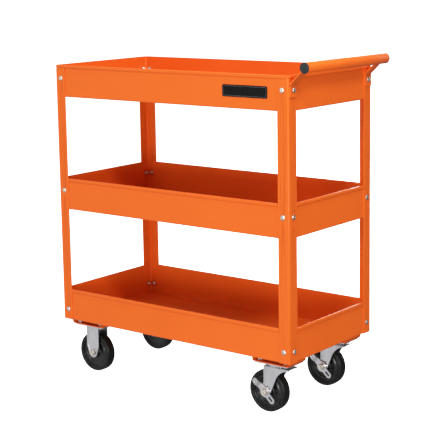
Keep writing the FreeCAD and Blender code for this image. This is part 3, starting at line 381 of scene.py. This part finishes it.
def make_plate_border():
    """A thin grey line just inside the edge of the blank name plate."""
    low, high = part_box("name_plate")
    middle = (low + high) / 2
    half_width = (high.x - low.x) / 2 / MM - BORDER_INSET
    half_height = (high.z - low.z) / 2 / MM - BORDER_INSET
    outer = rounded_rectangle(half_width, half_height, BORDER_RADIUS)
    inner = rounded_rectangle(half_width - BORDER_WIDTH, half_height - BORDER_WIDTH,
                              BORDER_RADIUS - BORDER_WIDTH)
    face = low.y / MM
    sunk, proud = face + BORDER_SUNK, face - BORDER_PROUD
    shape = bmesh.new()
    levels = ((outer, sunk), (outer, proud), (inner, proud), (inner, sunk))
    loops = [
        [shape.verts.new((middle.x + x * MM, level * MM, middle.z + z * MM)) for x, z in outline]
        for outline, level in levels
    ]
    for loop, following in zip(loops, loops[1:] + loops[:1]):
        for index in range(len(loop)):
            shape.faces.new((loop[index - 1], loop[index], following[index], following[index - 1]))
    bmesh.ops.recalc_face_normals(shape, faces=shape.faces)
    mesh = bpy.data.meshes.new("plate_border")
    shape.to_mesh(mesh)
    shape.free()
    add_piece("plate_border", mesh, "cart", BORDER)


# Weld beads: radii and ripple length in mm, and the stitches along a channel as shares of its width.
RIPPLE_LENGTH = 1.6
RIPPLE_STEPS = 6
BEAD_SIDES = 12
BRACKET_BEAD = 1.5
BRACKET_BEAD_INSET = 1.5
CHANNEL_BEAD = 1.3
STITCH_PLACES = (0.06, 0.42, 0.78)
STITCH_LENGTH = 0.16
STRAP_SLOPE = (-38.5, 0, -36.2)


def weld_bead(name, start, end, radius, phase):
    """A fillet weld from start to end: overlapping ripples along a slightly wandering line, in metres."""
    run = end - start
    ripples = max(4, round(run.length / (RIPPLE_LENGTH * MM)))
    steps = ripples * RIPPLE_STEPS
    along = run.normalized()
    side = along.orthogonal().normalized()
    other = along.cross(side)
    shape = bmesh.new()
    rings = []
    for step in range(steps + 1):
        share = step / steps
        ripple = abs(math.sin(math.pi * ripples * share + phase))
        taper = min(1.0, 5 * share + 0.35, 5 * (1 - share) + 0.35)
        size = radius * taper * (0.80 + 0.20 * ripple)
        wander = side * math.sin(7 * share + phase) * radius * 0.12
        middle = start + run * share + wander
        rings.append([
            shape.verts.new(middle + (side * math.cos(turn) + other * math.sin(turn)) * size)
            for turn in (math.tau * index / BEAD_SIDES for index in range(BEAD_SIDES))
        ])
    for ring, following in zip(rings, rings[1:]):
        for index in range(BEAD_SIDES):
            shape.faces.new((ring[index - 1], ring[index], following[index], following[index - 1]))
    shape.faces.new(rings[0])
    shape.faces.new(rings[-1])
    bmesh.ops.recalc_face_normals(shape, faces=shape.faces)
    mesh = bpy.data.meshes.new(name)
    shape.to_mesh(mesh)
    shape.free()
    mesh.shade_smooth()
    add_piece(name, mesh, "cart", PAINT)


def make_bracket_welds():
    """Two beads per bracket, in the corners between the strap's faces and the tube."""
    low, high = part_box("handle_tube")
    axis = (low + high) / 2
    tube = (high.z - low.z) / 2
    slope = Vector(STRAP_SLOPE).normalized()
    across = Vector((-slope.z, 0, slope.x))
    for side in ("front", "rear"):
        strap_low, strap_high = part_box("handle_bracket_" + side)
        for face, sign in (("upper", -1), ("lower", 1)):
            seat = slope * (tube + 0.3 * MM) + across * sign * 2.6 * MM
            start = Vector((axis.x, strap_low.y + BRACKET_BEAD_INSET * MM, axis.z)) + seat
            finish = Vector((axis.x, strap_high.y - BRACKET_BEAD_INSET * MM, axis.z)) + seat
            weld_bead(f"weld_handle_{side}_{face}", start, finish, BRACKET_BEAD * MM, 0.7 * sign)


def make_channel_welds():
    """Short stitches where each channel's leaning webs meet the underside of the bottom tray."""
    for corner in CORNERS:
        low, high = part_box("caster_channel_" + corner)
        length = high.y - low.y
        for end, x in (("left", low.x), ("right", high.x)):
            for number, place in enumerate(STITCH_PLACES):
                start = Vector((x, low.y + length * place, high.z - 0.5 * MM))
                finish = start + Vector((0, length * STITCH_LENGTH, 0))
                name = f"weld_channel_{corner}_{end}_{number}"
                weld_bead(name, start, finish, CHANNEL_BEAD * MM, number + 0.4)


for corner in CORNERS:
    make_wheel(corner)
for side, sign in (("front", -1), ("rear", 1)):
    make_cap(side, sign)
make_plate_border()
make_bracket_welds()
make_channel_welds()


# ---------------------------------------------------------------------------------------------------------
# Studio
# ---------------------------------------------------------------------------------------------------------

FLOOR_HALF = 14.0
WORLD_DIM = 0.16
WORLD_BRIGHT = 0.84
BACKDROP = 1.9
BRIGHT_SIDE = (-0.61, -0.79, 0.0)

# Each softbox: name, place, size, power in watts, and the spot that it faces.
CART_MIDDLE = (0, 0, 0.4)
SOFTBOXES = (
    ("key", (1.3, -3.3, 0.42), (1.4, 0.6), 46, CART_MIDDLE),
    ("front_top", (1.0, -1.9, 2.7), (0.7, 0.3), 44, (0, -0.17, 0.5)),
    ("side", (3.2, -1.6, 0.40), (1.2, 0.6), 40, CART_MIDDLE),
    ("side_top", (2.2, -0.3, 2.5), (0.3, 0.8), 42, (0.33, 0, 0.5)),
    ("top", (0.1, 0.0, 3.0), (0.22, 1.4), 44, CART_MIDDLE),
    ("back", (-0.8, 3.4, 1.0), (1.8, 0.9), 78, CART_MIDDLE),
)

CAMERA_PLACE = (1.9471, -2.4775, 1.0155)
CAMERA_YAW_PITCH_ROLL = (38.027, -9.201, -0.877)
CAMERA_SENSOR = 36.0
CAMERA_LENS = 106.704
CAMERA_SHIFT = -0.097

# The film curve takes scene light, up to FILM_WHITE, to shown light.
FILM_WHITE = 1.5
FILM_CURVE = ((0.25, 0.25), (0.5, 0.49), (0.75, 0.70), (1.0, 0.85), (1.2, 0.93))


def make_floor():
    """A pale floor that only the camera sees, so that it throws no light up onto the cart."""
    mesh = bpy.data.meshes.new("floor")
    corners = [(FLOOR_HALF * x, FLOOR_HALF * y, 0) for x, y in ((-1, -1), (1, -1), (1, 1), (-1, 1))]
    mesh.from_pydata(corners, [], [(0, 1, 2, 3)])
    floor = bpy.data.objects.new("floor", mesh)
    floor.data.materials.append(seamless_floor())
    bpy.context.scene.collection.objects.link(floor)
    floor.visible_diffuse = False
    floor.visible_glossy = False


def aim(thing, spot):
    thing.rotation_euler = (Vector(spot) - thing.location).to_track_quat("-Z", "Y").to_euler()


def make_softbox(name, place, size, power, spot):
    """A soft light of size (across, along) in metres, turned towards spot."""
    data = bpy.data.lights.new(name, "AREA")
    data.shape = "RECTANGLE"
    data.size, data.size_y = size
    data.energy = power
    light = bpy.data.objects.new(name, data)
    light.location = place
    bpy.context.scene.collection.objects.link(light)
    aim(light, spot)


def make_world(dim, bright, backdrop):
    """A white studio, bright on the front left and dim behind on the right. What is seen of it directly is a
    lit backdrop."""
    world = bpy.data.worlds.new("studio")
    world.use_nodes = True
    nodes = world.node_tree.nodes
    links = world.node_tree.links
    surround = nodes["Background"]
    screen = nodes.new("ShaderNodeBackground")
    screen.inputs["Strength"].default_value = backdrop
    for background in (surround, screen):
        background.inputs["Color"].default_value = rgb(1.0, 1.0, 1.0)
    facing = nodes.new("ShaderNodeVectorMath")
    facing.operation = "DOT_PRODUCT"
    facing.inputs[1].default_value = BRIGHT_SIDE
    links.new(nodes.new("ShaderNodeTexCoord").outputs["Generated"], facing.inputs[0])
    spread = nodes.new("ShaderNodeMapRange")
    spread.interpolation_type = "SMOOTHSTEP"
    for socket, value in (("From Min", -0.6), ("From Max", 1.0), ("To Min", dim), ("To Max", bright)):
        spread.inputs[socket].default_value = value
    links.new(facing.outputs["Value"], spread.inputs["Value"])
    links.new(spread.outputs["Result"], surround.inputs["Strength"])
    mix = nodes.new("ShaderNodeMixShader")
    links.new(nodes.new("ShaderNodeLightPath").outputs["Is Camera Ray"], mix.inputs[0])
    links.new(surround.outputs[0], mix.inputs[1])
    links.new(screen.outputs[0], mix.inputs[2])
    links.new(mix.outputs[0], nodes["World Output"].inputs["Surface"])
    bpy.context.scene.world = world


def set_film():
    """A plain display transform with a soft shoulder, which holds the bright paint below clipping."""
    settings = bpy.context.scene.view_settings
    settings.view_transform = "Standard"
    settings.use_curve_mapping = True
    curves = settings.curve_mapping
    curves.white_level = (FILM_WHITE, FILM_WHITE, FILM_WHITE)
    curve = curves.curves[3]
    for level, shown in FILM_CURVE:
        curve.points.new(level / FILM_WHITE, shown)
    curves.update()


def make_camera():
    """Stands in front of the cart and to its right, a little above it, and looks slightly down."""
    yaw, pitch, roll = (math.radians(angle) for angle in CAMERA_YAW_PITCH_ROLL)
    data = bpy.data.cameras.new("camera")
    data.sensor_width = CAMERA_SENSOR
    data.lens = CAMERA_LENS
    data.shift_y = CAMERA_SHIFT
    camera = bpy.data.objects.new("camera", data)
    turn = Matrix.Rotation(yaw, 3, "Z") @ Matrix.Rotation(math.pi / 2 + pitch, 3, "X")
    turn = turn @ Matrix.Rotation(roll, 3, "Z")
    camera.matrix_world = Matrix.Translation(Vector(CAMERA_PLACE)) @ turn.to_4x4()
    bpy.context.scene.collection.objects.link(camera)
    bpy.context.scene.camera = camera


make_floor()
make_world(WORLD_DIM, WORLD_BRIGHT, BACKDROP)
for softbox in SOFTBOXES:
    make_softbox(*softbox)
make_camera()
set_film()
